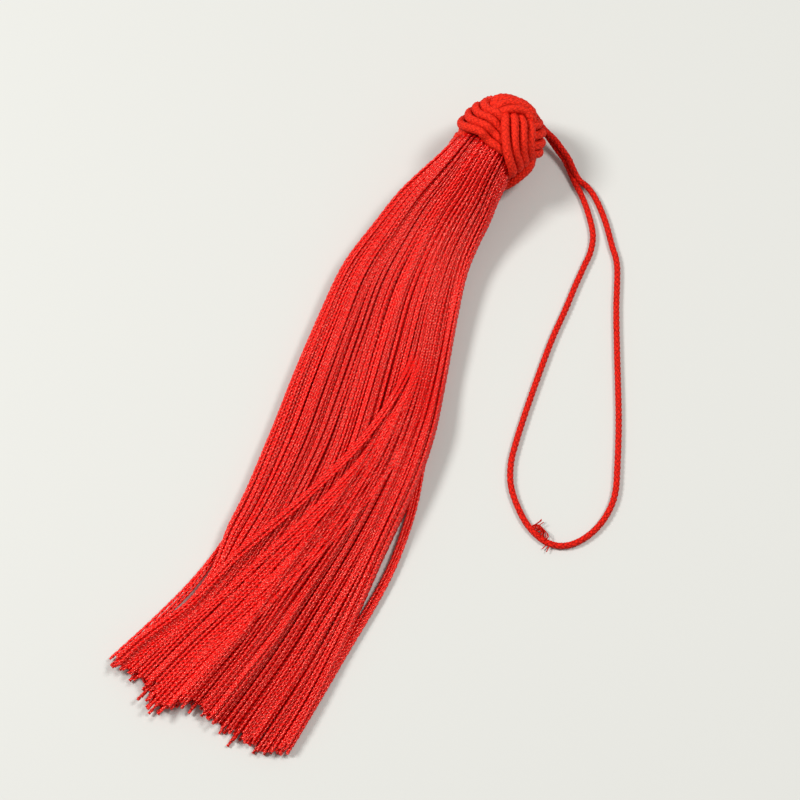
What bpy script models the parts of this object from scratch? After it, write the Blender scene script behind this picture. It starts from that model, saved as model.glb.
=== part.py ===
"""A tassel laid out on a table: a woven ball knot, a fringe of threads bound inside it and a hanging loop.

Metres, +Z up. The table is the plane Z = 0 and the fringe runs from the knot towards -Y.
The origin is under the middle of the knot and fringe, on the table.
"""

import math
import random

import bmesh
import bpy
from mathutils import Matrix, Vector

# The knot's centre is above the table by its radius, less the depth of the flat spot that it rests on.
KNOT_CENTRE = Vector((-0.0001, 0.0609, 0.0085))
AXIS_TURN = math.radians(12)  # of the knot's axis from +Y towards +X, at the end where the loop comes out
AXIS_DIP = math.radians(6)  # of that end below the level
KNOT_SPIN = math.radians(40)  # of the weave about the knot's own axis

# The knot: one cord laid round three times as a turk's head of four bights, and followed to four passes.
KNOT_CORD = 0.00178
PASSES = 4
LEADS = 3
BIGHTS = 4
SHELL_RADIUS = 0.0073  # of the surface halfway through the two layers of cord
SKIRT_RADIUS = 0.030  # of the arc that the lower half follows towards the mouth
LAYER_LIFT = 0.42 * KNOT_CORD  # of a band over or under that surface at a crossing
BAND_THICKNESS = 0.55 * KNOT_CORD  # of a band below the middle of its cords
WAVE_FIRST = math.radians(48.5)  # the band's swing in latitude, and the part that flattens its peaks
WAVE_THIRD = math.radians(-6.5)
LATITUDE_SCALE = 0.91
LATITUDE_SHIFT = math.radians(11)
LIFT_SHARPNESS = 3.5
OVER_PHASES = (60, 240)  # degrees of the wave where the band lies on top, above and below the equator
RUN_START = -88  # degrees of the wave from there to the ends of the stretch that shows
RUN_END = 44
RUN_STEPS = 10
UNDERSIDE_SHARE = 0.96  # of the band's width that its flat underside has
BETWEEN_BANDS = -0.05 * KNOT_CORD  # height over the shell of the surface that shows between the bands
BLOCK_SIZE = 0.05

# The hollow in the knot, and the bound head of the fringe that fills it.
HOLLOW_RADIUS = 0.0052
HOLLOW_MOUTH = 0.0063
HOLLOW_TOP = 0.0026
CROWN_DROP = 0.0008
CROWN_SHARE = 0.6  # of the radius: the half width of the crown's flatter middle, and its shoulder's drop
MOUTH_DEPTH = 0.0056  # of the knot's rim below its centre, along the axis
FIT_GAP = 0.0003
HEAD_END = 0.0044
RIM_WALL = 0.0004

# The fringe. Threads stand in columns at the mouth and spread to flat layers on the table.
THREAD_HEIGHT = 0.00056
PRESSED_HEIGHT = 0.7  # share of it that a thread has in the mouth
STAGGER = 0.25  # of a column, to each side by turns, from one layer to the next
NECK_COLUMNS = (
    # tip_columns, layers: how each column at the mouth spreads out at the tips
    (1, 2), (2, 3), (2, 4), (3, 4), (3, 4), (3, 4), (3, 4), (3, 4),
    (3, 4), (3, 4), (3, 4), (3, 4), (2, 4), (2, 3), (1, 2),
)
FRINGE_SECTIONS = (
    # down, across, half_width, underside, depth, lean, thread_width, spread, settled
    (0.0034, -0.0007, 0.0044, 0.00446, 0.0088, 12, 0.00042, 0.00, 0.00),
    (0.0074, -0.0016, 0.0054, 0.00380, 0.0108, 12, 0.00050, 0.05, 0.00),
    (0.0108, -0.0026, 0.0073, 0.00200, 0.0106, 13, 0.00052, 0.30, 0.00),
    (0.0150, -0.0034, 0.0086, 0.00070, 0.0098, 12, 0.00050, 0.70, 0.05),
    (0.0200, -0.0043, 0.0093, 0.00000, 0.0084, 8, 0.00046, 1.00, 0.15),
    (0.0270, -0.0048, 0.0102, 0.00000, 0.0068, 4, 0.00050, 1.00, 0.35),
    (0.0370, -0.0045, 0.0121, 0.00000, 0.0054, 0, 0.00056, 1.00, 0.65),
    (0.0490, -0.0027, 0.0137, 0.00000, 0.0045, 0, 0.00060, 1.00, 0.90),
    (0.0620, -0.0003, 0.0149, 0.00000, 0.0039, 0, 0.00063, 1.00, 1.00),
    (0.0760, 0.0021, 0.0155, 0.00000, 0.0036, 0, 0.00065, 1.00, 1.00),
    (0.0920, 0.0036, 0.0156, 0.00000, 0.0033, 0, 0.00066, 1.00, 1.00),
    (0.1100, 0.0025, 0.0161, 0.00000, 0.0031, 0, 0.00068, 1.00, 1.00),
    (0.1300, -0.0009, 0.0181, 0.00000, 0.0028, 0, 0.00070, 1.00, 1.00),
)
TIP_CURVE = 0.0030  # how much shorter the threads are at the two edges
TIP_SCATTER = 0.0008
UNDER_LAYER_SHORTER = 0.0009
LOCK_SWAY = 0.00006  # sideways gathering of neighbouring threads into locks
LOCKS_ACROSS = 9
LOCK_TURN = 1.3  # radians between the locks of one layer and the next
TIP_SEED = 7

# The hanging loop: one cord whose two ends go into the top of the knot.
LOOP_CORD = 0.0012
LOOP_POINTS = 79
STEPS_BETWEEN = 12  # of the smooth curve between two points of the route
LOOP_ROUTE = (
    # across, down, above the table; from the knot's centre
    (0.0017, -0.0078, 0.0086),
    (0.0025, -0.0085, 0.0079),
    (0.0036, -0.0091, 0.0069),
    (0.0051, -0.0090, 0.0055),
    (0.0069, -0.0088, 0.0046),
    (0.0090, -0.0082, 0.0038),
    (0.0111, -0.0071, 0.0030),
    (0.0133, -0.0055, 0.0024),
    (0.0151, -0.0039, 0.0019),
    (0.0169, -0.0027, 0.0012),
    (0.0187, -0.0018, 0.0007),
    (0.0212, 0.0002, 0.00064),
    (0.0246, 0.0038, 0.00064),
    (0.0283, 0.0085, 0.00064),
    (0.0312, 0.0124, 0.00064),
    (0.0348, 0.0211, 0.00064),
    (0.0385, 0.0293, 0.00064),
    (0.0447, 0.0428, 0.00064),
    (0.0486, 0.0525, 0.00064),
    (0.0502, 0.0573, 0.00064),
    (0.0505, 0.0614, 0.00064),
    (0.0498, 0.0652, 0.00064),
    (0.0483, 0.0684, 0.00064),
    (0.0463, 0.0706, 0.00064),
    (0.0440, 0.0716, 0.00064),
    (0.0412, 0.0715, 0.00064),
    (0.0378, 0.0700, 0.00064),
    (0.0346, 0.0674, 0.00064),
    (0.0319, 0.0643, 0.00064),
    (0.0302, 0.0608, 0.00064),
    (0.0292, 0.0569, 0.00064),
    (0.0279, 0.0482, 0.00064),
    (0.0263, 0.0340, 0.00064),
    (0.0259, 0.0259, 0.00064),
    (0.0255, 0.0200, 0.00064),
    (0.0253, 0.0153, 0.00064),
    (0.0250, 0.0115, 0.00064),
    (0.0238, 0.0075, 0.00064),
    (0.0211, 0.0035, 0.00064),
    (0.0186, 0.0003, 0.00064),
    (0.0166, -0.0019, 0.0008),
    (0.0146, -0.0038, 0.0010),
    (0.0125, -0.0056, 0.0015),
    (0.0102, -0.0072, 0.0021),
    (0.0081, -0.0083, 0.0028),
    (0.0060, -0.0091, 0.0037),
    (0.0042, -0.0093, 0.0045),
    (0.0027, -0.0092, 0.0059),
    (0.0016, -0.0085, 0.0069),
    (0.0008, -0.0079, 0.0077),
)

SHARP_ANGLE = math.radians(50)
CORD_RED = (0.62, 0.012, 0.010, 1.0)
THREAD_RED = (0.66, 0.009, 0.008, 1.0)
LOOP_RED = (0.58, 0.012, 0.011, 1.0)


def clear_scene():
    for old in list(bpy.data.objects):
        bpy.data.objects.remove(old)


def collection_named(name):
    made = bpy.data.collections.new(name)
    bpy.context.scene.collection.children.link(made)
    return made


def cord_material(name, colour, roughness):
    material = bpy.data.materials.new(name)
    material.use_nodes = True
    shader = material.node_tree.nodes["Principled BSDF"]
    shader.inputs["Base Color"].default_value = colour
    shader.inputs["Roughness"].default_value = roughness
    shader.inputs["Metallic"].default_value = 0.0
    shader.inputs["Sheen Weight"].default_value = 0.4
    return material


def object_from(data, name, collection):
    made = bpy.data.objects.new(name, data)
    collection.objects.link(made)
    return made


def boolean(target, helper, operation):
    """Joins a helper to the target or cuts it away, and hides the helper."""
    modifier = target.modifiers.new(f"{operation.lower()} {helper.name}", "BOOLEAN")
    modifier.operation = operation
    modifier.object = helper
    modifier.solver = "EXACT"
    helper.hide_render = True
    helper.display_type = "WIRE"


def smooth_mesh(mesh, name):
    """A bmesh made into mesh data, facing out and shaded smooth across its rounder edges."""
    bmesh.ops.recalc_face_normals(mesh, faces=mesh.faces)
    made = bpy.data.meshes.new(name)
    mesh.to_mesh(made)
    mesh.free()
    made.shade_smooth()
    made.set_sharp_from_angle(angle=SHARP_ANGLE)
    return made


def knot_frame():
    """The knot's own frame: Z along its axis towards the loop, its centre at KNOT_CENTRE."""
    level = math.cos(AXIS_DIP)
    axis = Vector((math.sin(AXIS_TURN) * level, math.cos(AXIS_TURN) * level, -math.sin(AXIS_DIP)))
    side = axis.cross(Vector((0, 0, 1))).normalized()
    up = side.cross(axis)
    turn = Matrix((up, side, axis)).transposed().to_4x4()
    return Matrix.Translation(KNOT_CENTRE) @ turn @ Matrix.Rotation(KNOT_SPIN, 4, "Z")


# The woven ball knot

def band_direction(t):
    """The middle of the band as a direction from the knot's centre. One whole knot is t from 0 to 2 pi."""
    phase = BIGHTS * t
    wave = WAVE_FIRST * math.cos(phase) + WAVE_THIRD * math.cos(3 * phase)
    latitude = LATITUDE_SCALE * wave + LATITUDE_SHIFT
    longitude = -LEADS * t
    return Vector((
        math.cos(latitude) * math.cos(longitude),
        math.cos(latitude) * math.sin(longitude),
        math.sin(latitude),
    ))


def shell_point(direction, height):
    """A point at a height over the shell: a sphere above the equator, and a steeper skirt below it."""
    latitude = math.asin(max(-1.0, min(1.0, direction.z)))
    round_axis = Vector((direction.x, direction.y, 0)).normalized()
    if latitude >= 0:
        return direction * (SHELL_RADIUS + height)
    bend = -latitude * SHELL_RADIUS / SKIRT_RADIUS
    out = SHELL_RADIUS - SKIRT_RADIUS * (1 - math.cos(bend)) + height * math.cos(bend)
    return round_axis * out - Vector((0, 0, (SKIRT_RADIUS + height) * math.sin(bend)))


def band_lift(t):
    """Height of the band over the shell: over and under by turns at its crossings."""
    swing = LIFT_SHARPNESS * math.sin(2 * BIGHTS * t)
    return LAYER_LIFT * math.tanh(swing)


def band_point(t, offset, height):
    """A point of the band at a sideways offset from its middle."""
    here = band_direction(t)
    ahead = band_direction(t + 0.001)
    along = (ahead - here).normalized()
    sideways = here.cross(along).normalized()
    angle = offset / SHELL_RADIUS
    direction = here * math.cos(angle) + sideways * math.sin(angle)
    return shell_point(direction.normalized(), band_lift(t) + height)


def band_profile():
    """The band's cross-section: a half-round ridge for each pass of the cord, and a flat underside."""
    ridge = ((-0.5, 0.06), (-0.3, 0.40), (0.0, 0.50), (0.3, 0.40))
    profile = []
    for number in range(PASSES):
        middle = number - (PASSES - 1) / 2
        profile += [((middle + side) * KNOT_CORD, rise * KNOT_CORD) for side, rise in ridge]
    edge = PASSES / 2 * KNOT_CORD
    profile.append((edge, 0.06 * KNOT_CORD))
    profile += [(side * UNDERSIDE_SHARE * edge, -BAND_THICKNESS) for side in (1, 0, -1)]
    return profile


def over_run(middle_phase):
    """One stretch where the band lies on top: a closed loft whose two ends dip under its neighbours."""
    profile = band_profile()
    mesh = bmesh.new()
    rings = []
    for step in range(RUN_STEPS + 1):
        phase = middle_phase + RUN_START + (RUN_END - RUN_START) * step / RUN_STEPS
        t = math.radians(phase) / BIGHTS
        rings.append([mesh.verts.new(band_point(t, offset, height)) for offset, height in profile])
    for ring, following in zip(rings, rings[1:]):
        for index in range(len(profile)):
            nearby = (index + 1) % len(profile)
            mesh.faces.new((ring[index], ring[nearby], following[nearby], following[index]))
    mesh.faces.new(rings[0])
    mesh.faces.new(rings[-1])
    return smooth_mesh(mesh, "over_run")


def turned(profile, name, collection, steps=40):
    """A solid of revolution about its own Z. The profile of (radius, height) runs from the axis at the top,
    down the outer side and back to the axis."""
    line = bpy.data.meshes.new(name)
    points = [(radius, 0, height) for radius, height in profile]
    line.from_pydata(points, [(first, first + 1) for first in range(len(points) - 1)], [])
    made = object_from(line, name, collection)
    screw = made.modifiers.new("turn", "SCREW")
    screw.steps = screw.render_steps = steps
    screw.use_merge_vertices = True
    screw.merge_threshold = 0.00001
    return made


def knot_body(parts):
    """What shows between the bands: the shell's own surface, closed at the mouth."""
    profile = [(0, SHELL_RADIUS + BETWEEN_BANDS)]
    for degrees in range(78, -50, -12):
        latitude = math.radians(degrees)
        point = shell_point(Vector((math.cos(latitude), 0, math.sin(latitude))), BETWEEN_BANDS)
        profile.append((point.x, point.z))
    profile += [(profile[-1][0] - RIM_WALL, -MOUTH_DEPTH), (0, -MOUTH_DEPTH)]
    return turned(profile, "knot", parts)


def crown(radius, top):
    """The rounded top of the hollow, or of the head that fits it, as the start of a turned profile."""
    return [(0, top), (CROWN_SHARE * radius, top - CROWN_DROP), (radius, top - CROWN_SHARE * radius)]


def knot_hollow(helpers):
    """The hollow that the fringe's bound head sits in, cut through the mouth."""
    below = -SHELL_RADIUS - KNOT_CORD
    profile = crown(HOLLOW_RADIUS, HOLLOW_TOP) + [(HOLLOW_MOUTH, below), (0, below)]
    return turned(profile, "knot_hollow", helpers)


def table_block(helpers):
    """A block under the table's surface, which gives the knot the flat spot that it rests on."""
    bpy.ops.mesh.primitive_cube_add(size=BLOCK_SIZE)
    block = bpy.context.object
    block.name = "table_block"
    block.location = (KNOT_CENTRE.x, KNOT_CENTRE.y, -BLOCK_SIZE / 2)
    for collection in block.users_collection:
        collection.objects.unlink(block)
    helpers.objects.link(block)
    return block


def build_knot(parts, helpers):
    frame = knot_frame()
    knot = knot_body(parts)
    knot.matrix_world = frame
    knot.data.materials.append(cord_material("knot cord", CORD_RED, 0.62))
    for turn in range(BIGHTS):
        for middle in OVER_PHASES:
            run = object_from(over_run(middle + 360 * turn), "over_run", helpers)
            run.matrix_world = frame
            boolean(knot, run, "UNION")
    hollow = knot_hollow(helpers)
    hollow.matrix_world = frame
    boolean(knot, hollow, "DIFFERENCE")
    boolean(knot, table_block(helpers), "DIFFERENCE")


# The fringe and its bound head

def fringe_head(parts):
    """The end of the hank, bound round and hidden in the knot."""
    radius = HOLLOW_RADIUS - FIT_GAP
    profile = crown(radius, HOLLOW_TOP - FIT_GAP) + [(radius, -HEAD_END), (0, -HEAD_END)]
    return turned(profile, "fringe", parts, steps=28)


def threads():
    """Each thread's place in the mouth, as shares of its half sizes, and its column and layer at the tips."""
    placed = []
    first_column = 0
    for number, (tip_columns, layers) in enumerate(NECK_COLUMNS):
        neck_across = (2 * number + 1) / len(NECK_COLUMNS) - 1
        rows = tip_columns * layers
        for row in range(rows):
            layer, beside = divmod(row, tip_columns)
            neck_up = math.sqrt(1 - neck_across ** 2) * ((2 * row + 1) / rows - 1)
            placed.append((neck_across, neck_up, first_column + beside, layer))
        first_column += tip_columns
    return placed


def thread_ring(section, thread, shorter):
    """The three corners of a thread where it crosses one section of the fringe."""
    down, across, half_width, underside, depth, lean, thread_width, spread, settled = section
    neck_across, neck_up, column, layer = thread
    all_columns = sum(tip_columns for tip_columns, layers in NECK_COLUMNS)
    most_layers = max(layers for tip_columns, layers in NECK_COLUMNS)
    stagger = STAGGER * settled * (-1) ** layer
    tip_across = (2 * (column + stagger) + 1) / all_columns - 1
    sideways = half_width * (neck_across + (tip_across - neck_across) * spread)
    sideways += LOCK_SWAY * settled * math.sin(LOCKS_ACROSS * math.pi * tip_across + LOCK_TURN * layer)
    in_mouth = underside + (depth - THREAD_HEIGHT) * (neck_up + 1) / 2
    in_layers = underside + depth * layer / most_layers
    angle = math.radians(lean)
    place = Vector((
        KNOT_CENTRE.x + across + sideways * math.cos(angle),
        KNOT_CENTRE.y - down + shorter - sideways * math.sin(angle),
        in_mouth + (in_layers - in_mouth) * settled,
    ))
    half = Vector((math.cos(angle), -math.sin(angle), 0)) * thread_width / 2
    tall = THREAD_HEIGHT * (PRESSED_HEIGHT + (1 - PRESSED_HEIGHT) * spread)
    return place - half, place + half, place + Vector((0, 0, tall))


def fringe_threads():
    """All the threads in one mesh, apart from each other, with their roots inside the bound head."""
    chance = random.Random(TIP_SEED)
    mesh = bmesh.new()
    columns = sum(tip_columns for tip_columns, layers in NECK_COLUMNS)
    for thread in threads():
        neck_across, neck_up, column, layer = thread
        edge = (2 * column + 1) / columns - 1
        shorter = TIP_CURVE * edge ** 2 + UNDER_LAYER_SHORTER * (layer == 0)
        shorter += chance.uniform(-TIP_SCATTER, TIP_SCATTER)
        rings = []
        for section in FRINGE_SECTIONS:
            at_tip = shorter if section is FRINGE_SECTIONS[-1] else 0
            rings.append([mesh.verts.new(corner) for corner in thread_ring(section, thread, at_tip)])
        for ring, following in zip(rings, rings[1:]):
            for corner in range(3):
                nearby = (corner + 1) % 3
                mesh.faces.new((ring[corner], following[corner], following[nearby], ring[nearby]))
        mesh.faces.new(rings[0])
        mesh.faces.new(reversed(rings[-1]))
    return smooth_mesh(mesh, "fringe_threads")


def build_fringe(parts, helpers):
    fringe = fringe_head(parts)
    fringe.matrix_world = knot_frame()
    fringe.data.materials.append(cord_material("fringe thread", THREAD_RED, 0.45))
    boolean(fringe, object_from(fringe_threads(), "fringe_threads", helpers), "UNION")


# The hanging loop

def smooth_line(route, count):
    """Points evenly spaced along a Catmull-Rom curve through the route."""
    points = [Vector(place) for place in route]
    padded = [2 * points[0] - points[1]] + points + [2 * points[-1] - points[-2]]
    fine = []
    for a, b, c, d in zip(padded, padded[1:], padded[2:], padded[3:]):
        for step in range(STEPS_BETWEEN):
            s = step / STEPS_BETWEEN
            bend = (2 * a - 5 * b + 4 * c - d) * s ** 2 + (3 * b - a - 3 * c + d) * s ** 3
            fine.append(0.5 * (2 * b + (c - a) * s + bend))
    fine.append(points[-1])
    along = [0.0]
    for a, b in zip(fine, fine[1:]):
        along.append(along[-1] + (b - a).length)
    line = []
    index = 0
    for number in range(count):
        wanted = along[-1] * number / (count - 1)
        while index < len(fine) - 2 and along[index + 1] < wanted:
            index += 1
        share = (wanted - along[index]) / (along[index + 1] - along[index])
        line.append(fine[index].lerp(fine[index + 1], min(1, share)))
    return line


def build_loop(parts):
    route = [
        (KNOT_CENTRE.x + across, KNOT_CENTRE.y - down, above) for across, down, above in LOOP_ROUTE
    ]
    line = smooth_line(route, LOOP_POINTS)
    curve = bpy.data.curves.new("hanging_loop", "CURVE")
    curve.dimensions = "3D"
    curve.bevel_depth = LOOP_CORD / 2
    curve.bevel_resolution = 2
    curve.use_fill_caps = True
    spline = curve.splines.new("POLY")
    spline.points.add(len(line) - 1)
    for point, place in zip(spline.points, line):
        point.co = (*place, 1)
    curve.materials.append(cord_material("loop cord", LOOP_RED, 0.55))
    object_from(curve, "hanging_loop", parts)


clear_scene()
tassel_parts = collection_named("tassel")
cutters = collection_named("cutters")
build_knot(tassel_parts, cutters)
build_fringe(tassel_parts, cutters)
build_loop(tassel_parts)
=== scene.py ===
"""A scarlet tassel laid on a table: a hanging loop, a woven ball knot and a fringe of twisted threads.

Metres, +Z up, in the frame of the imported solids. The fringe runs from the knot towards -Y.
"""

import math
import random

import bpy
from mathutils import Matrix, Vector, noise


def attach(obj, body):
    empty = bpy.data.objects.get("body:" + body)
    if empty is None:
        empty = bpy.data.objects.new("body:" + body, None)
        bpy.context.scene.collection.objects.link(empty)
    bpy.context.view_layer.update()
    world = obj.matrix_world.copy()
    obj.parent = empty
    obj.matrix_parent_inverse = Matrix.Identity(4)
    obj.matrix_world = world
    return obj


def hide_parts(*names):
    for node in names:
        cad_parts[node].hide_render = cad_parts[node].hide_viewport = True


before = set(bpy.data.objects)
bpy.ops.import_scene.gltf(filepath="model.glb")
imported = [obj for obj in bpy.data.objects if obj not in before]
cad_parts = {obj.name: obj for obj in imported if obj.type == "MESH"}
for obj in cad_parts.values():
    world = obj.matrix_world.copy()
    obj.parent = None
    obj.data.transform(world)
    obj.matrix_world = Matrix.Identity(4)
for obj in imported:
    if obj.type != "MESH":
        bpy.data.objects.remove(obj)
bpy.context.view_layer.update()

# The camera looks down at the tassel as the photograph does, from 0.43 m away through a long lens.
CAMERA_LENS_MM = 100
CAMERA_TURN = math.radians(25.79)
CAMERA_RISE = math.radians(65)
CAMERA_DISTANCE = 0.4274
CAMERA_AIM = Vector((0.0050, 0.00393, 0))

to_camera = Vector((
    math.sin(CAMERA_TURN) * math.cos(CAMERA_RISE),
    -math.cos(CAMERA_TURN) * math.cos(CAMERA_RISE),
    math.sin(CAMERA_RISE),
))
photo_right = Vector((math.cos(CAMERA_TURN), math.sin(CAMERA_TURN), 0))
photo_up = to_camera.cross(photo_right)
camera = bpy.data.objects.new("camera", bpy.data.cameras.new("camera"))
camera.data.lens = CAMERA_LENS_MM
camera.location = CAMERA_AIM + CAMERA_DISTANCE * to_camera
camera.rotation_euler = to_camera.to_track_quat("Z", "Y").to_euler()
bpy.context.scene.collection.objects.link(camera)
bpy.context.scene.camera = camera


# The hanging loop is one length of 1.2 mm braided polyester cord. Both ends go up into the top of the knot,
# and the cord's own two cut ends are melted together at the far end of the loop, with a little fray left.
# It lies on the table: its two legs cross near the knot and part into a long narrow loop.
LOOP_CORD = 0.0012
LOOP_STRANDS = 8
LOOP_BRAID_LENGTH = 0.0011  # of one diamond of the braid along the cord
LOOP_RELIEF = 0.00012  # of the braid's strands over the valleys between them
LOOP_BUMP = 0.00016  # of the finer strands and fuzz in the finish
LOOP_PLAITED = 0.8  # how strongly the braid shows through the fuzz
LOOP_SIDES = 14
LOOP_STEP = 0.0002  # from ring to ring of the mesh
LOOP_ROUTE = (
    # across, down, above the table; from the knot's centre
    (0.0017, -0.0078, 0.0086),
    (0.0025, -0.0085, 0.0079),
    (0.0036, -0.0088, 0.0066),
    (0.0049, -0.0083, 0.0052),
    (0.0066, -0.0078, 0.0043),
    (0.0087, -0.0073, 0.0035),
    (0.0108, -0.0063, 0.0028),
    (0.0130, -0.0049, 0.0024),
    (0.0148, -0.0033, 0.0019),
    (0.0166, -0.0021, 0.0012),
    (0.0187, -0.0016, 0.0007),
    (0.0213, 0.0002, 0.00064),
    (0.0248, 0.0038, 0.00064),
    (0.0284, 0.0085, 0.00064),
    (0.0312, 0.0124, 0.00064),
    (0.0348, 0.0211, 0.00064),
    (0.0385, 0.0293, 0.00064),
    (0.0447, 0.0428, 0.00064),
    (0.0486, 0.0525, 0.00064),
    (0.0502, 0.0573, 0.00064),
    (0.0505, 0.0614, 0.00064),
    (0.0498, 0.0652, 0.00064),
    (0.0483, 0.0684, 0.00064),
    (0.0463, 0.0706, 0.00064),
    (0.0440, 0.0716, 0.00064),
    (0.0412, 0.0715, 0.00064),
    (0.0378, 0.0700, 0.00064),
    (0.0346, 0.0674, 0.00064),
    (0.0319, 0.0643, 0.00064),
    (0.0302, 0.0608, 0.00064),
    (0.0292, 0.0569, 0.00064),
    (0.0279, 0.0482, 0.00064),
    (0.0263, 0.0340, 0.00064),
    (0.0259, 0.0259, 0.00064),
    (0.0255, 0.0200, 0.00064),
    (0.0253, 0.0153, 0.00064),
    (0.0251, 0.0115, 0.00064),
    (0.0239, 0.0077, 0.00064),
    (0.0211, 0.0037, 0.00064),
    (0.0184, 0.0007, 0.00064),
    (0.0162, -0.0012, 0.0008),
    (0.0142, -0.0031, 0.0010),
    (0.0121, -0.0049, 0.0015),
    (0.0098, -0.0063, 0.0018),
    (0.0078, -0.0074, 0.0024),
    (0.0058, -0.0083, 0.0032),
    (0.0040, -0.0088, 0.0042),
    (0.0027, -0.0092, 0.0059),
    (0.0016, -0.0085, 0.0069),
    (0.0008, -0.0079, 0.0077),
)
LOOP_POINTS = 400
KNOT_CENTRE = Vector((-0.0001, 0.0609, 0.0085))
FRAY_PLACE = Vector((0.0388, -0.0098, 0.0006))  # where the cord's two cut ends are melted together
FRAY_TUFTS = (
    # where on the cord, in points of its line, how many filaments, and their bends across and along
    (0, 10, ((0.0, 0.0), (0.0011, 0.0010), (0.0022, 0.0009), (0.0028, -0.0001), (0.0026, -0.0010))),
    (0, 3, ((0.0, 0.0), (0.0009, 0.0013), (0.0014, 0.0024))),
    (-7, 3, ((0.0, 0.0), (0.0003, -0.0008), (0.0002, -0.0018))),
)
FILAMENT = 0.00019  # real ones are far thinner and show only in tufts this thick
FILAMENT_POINTS = 12
FILAMENT_SIDES = 6
FILAMENT_STEP = 0.0003
FRAY_REACH = (0.7, 1.1)  # shortest and longest filament, as shares of the bends above
FRAY_LIFT = 0.5  # how steeply a filament may rise from the table
FRAY_SPREAD = 0.15  # how far a bend strays, as a share of its distance from the cord
FRAY_SEED = 3


def smooth_line(route, count):
    """Points evenly spaced along a Catmull-Rom curve through the route."""
    points = [Vector(place) for place in route]
    padded = [2 * points[0] - points[1]] + points + [2 * points[-1] - points[-2]]
    steps = 12
    fine = []
    for a, b, c, d in zip(padded, padded[1:], padded[2:], padded[3:]):
        for step in range(steps):
            s = step / steps
            bend = (2 * a - 5 * b + 4 * c - d) * s ** 2 + (3 * b - a - 3 * c + d) * s ** 3
            fine.append(0.5 * (2 * b + (c - a) * s + bend))
    fine.append(points[-1])
    along = [0.0]
    for a, b in zip(fine, fine[1:]):
        along.append(along[-1] + (b - a).length)
    line = []
    index = 0
    for number in range(count):
        wanted = along[-1] * number / (count - 1)
        while index < len(fine) - 2 and along[index + 1] < wanted:
            index += 1
        share = (wanted - along[index]) / (along[index + 1] - along[index])
        line.append(fine[index].lerp(fine[index + 1], min(1, share)))
    return line


def add_node(tree, kind, settings=None, links=None):
    """Adds a node. Its settings are its properties or the values of its inputs, its links what they read."""
    node = tree.nodes.new(kind)
    for name, value in (settings or {}).items():
        if str(name) in node.bl_rna.properties:
            setattr(node, name, value)
        else:
            node.inputs[name].default_value = value
    for name, socket in (links or {}).items():
        tree.links.new(socket, node.inputs[name])
    return node


def lines_object(name, lines, closed=False, tones=None):
    """An object of bare edges, one chain for each line of points, that a tree below makes thick."""
    points = [point for line in lines for point in line]
    edges = []
    first = 0
    for line in lines:
        edges += [(first + step, first + step + 1) for step in range(len(line) - 1)]
        if closed:
            edges.append((first + len(line) - 1, first))
        first += len(line)
    mesh = bpy.data.meshes.new(name)
    mesh.from_pydata(points, edges, [])
    tone = mesh.attributes.new("tone", "FLOAT", "POINT")
    tones = tones or [0.5] * len(lines)
    tone.data.foreach_set("value", [tones[number] for number, line in enumerate(lines) for point in line])
    made = bpy.data.objects.new(name, mesh)
    bpy.context.scene.collection.objects.link(made)
    return made


def plait_height(tree, turns, diamonds, strands):
    """Height of a round plait, 0 to 1, at a place in turns round the cord and in diamonds along it."""
    passing = 0.25  # how softly a strand goes under the next
    roundness = 1.6
    waves = []
    for way in (1, -1):
        lead = add_node(
            tree, "ShaderNodeMath", {"operation": "MULTIPLY", 1: math.pi * strands / 2}, {0: turns}
        )
        run = add_node(
            tree, "ShaderNodeMath",
            {"operation": "MULTIPLY_ADD", 1: way * math.pi}, {0: diamonds, 2: lead.outputs[0]},
        )
        wave = add_node(tree, "ShaderNodeMath", {"operation": "SINE"}, {0: run.outputs[0]})
        waves.append(wave.outputs[0])
    ridges = [
        add_node(tree, "ShaderNodeMath", {"operation": "ABSOLUTE"}, {0: wave}).outputs[0] for wave in waves
    ]
    product = add_node(tree, "ShaderNodeMath", {"operation": "MULTIPLY"}, {0: waves[0], 1: waves[1]})
    on_top = add_node(
        tree, "ShaderNodeMapRange",
        {"From Min": -passing, "From Max": passing}, {"Value": product.outputs[0]},
    )
    chosen = add_node(
        tree, "ShaderNodeMix", {"data_type": "FLOAT"}, {0: on_top.outputs[0], 2: ridges[1], 3: ridges[0]}
    )
    rounded = add_node(tree, "ShaderNodeMath", {"operation": "POWER", 1: roundness}, {0: chosen.outputs[0]})
    return rounded.outputs[0]


def new_tree(name, sizes):
    """An empty geometry tree that takes bare lines, the named sizes and a material."""
    tree = bpy.data.node_groups.new(name, "GeometryNodeTree")
    tree.interface.new_socket("Geometry", in_out="INPUT", socket_type="NodeSocketGeometry")
    for size in sizes:
        tree.interface.new_socket(size, in_out="INPUT", socket_type="NodeSocketFloat")
    tree.interface.new_socket("Material", in_out="INPUT", socket_type="NodeSocketMaterial")
    tree.interface.new_socket("Geometry", in_out="OUTPUT", socket_type="NodeSocketGeometry")
    return tree, add_node(tree, "NodeGroupInput").outputs


def end_tree(tree, mesh, material):
    """Ends a tree: smooth shading, real geometry in place of instances, and the material."""
    smooth = add_node(tree, "GeometryNodeSetShadeSmooth", links={0: mesh})
    real = add_node(tree, "GeometryNodeRealizeInstances", links={"Geometry": smooth.outputs[0]})
    painted = add_node(
        tree, "GeometryNodeSetMaterial", links={"Geometry": real.outputs[0], "Material": material}
    )
    add_node(tree, "NodeGroupOutput", links={"Geometry": painted.outputs[0]})


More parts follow.
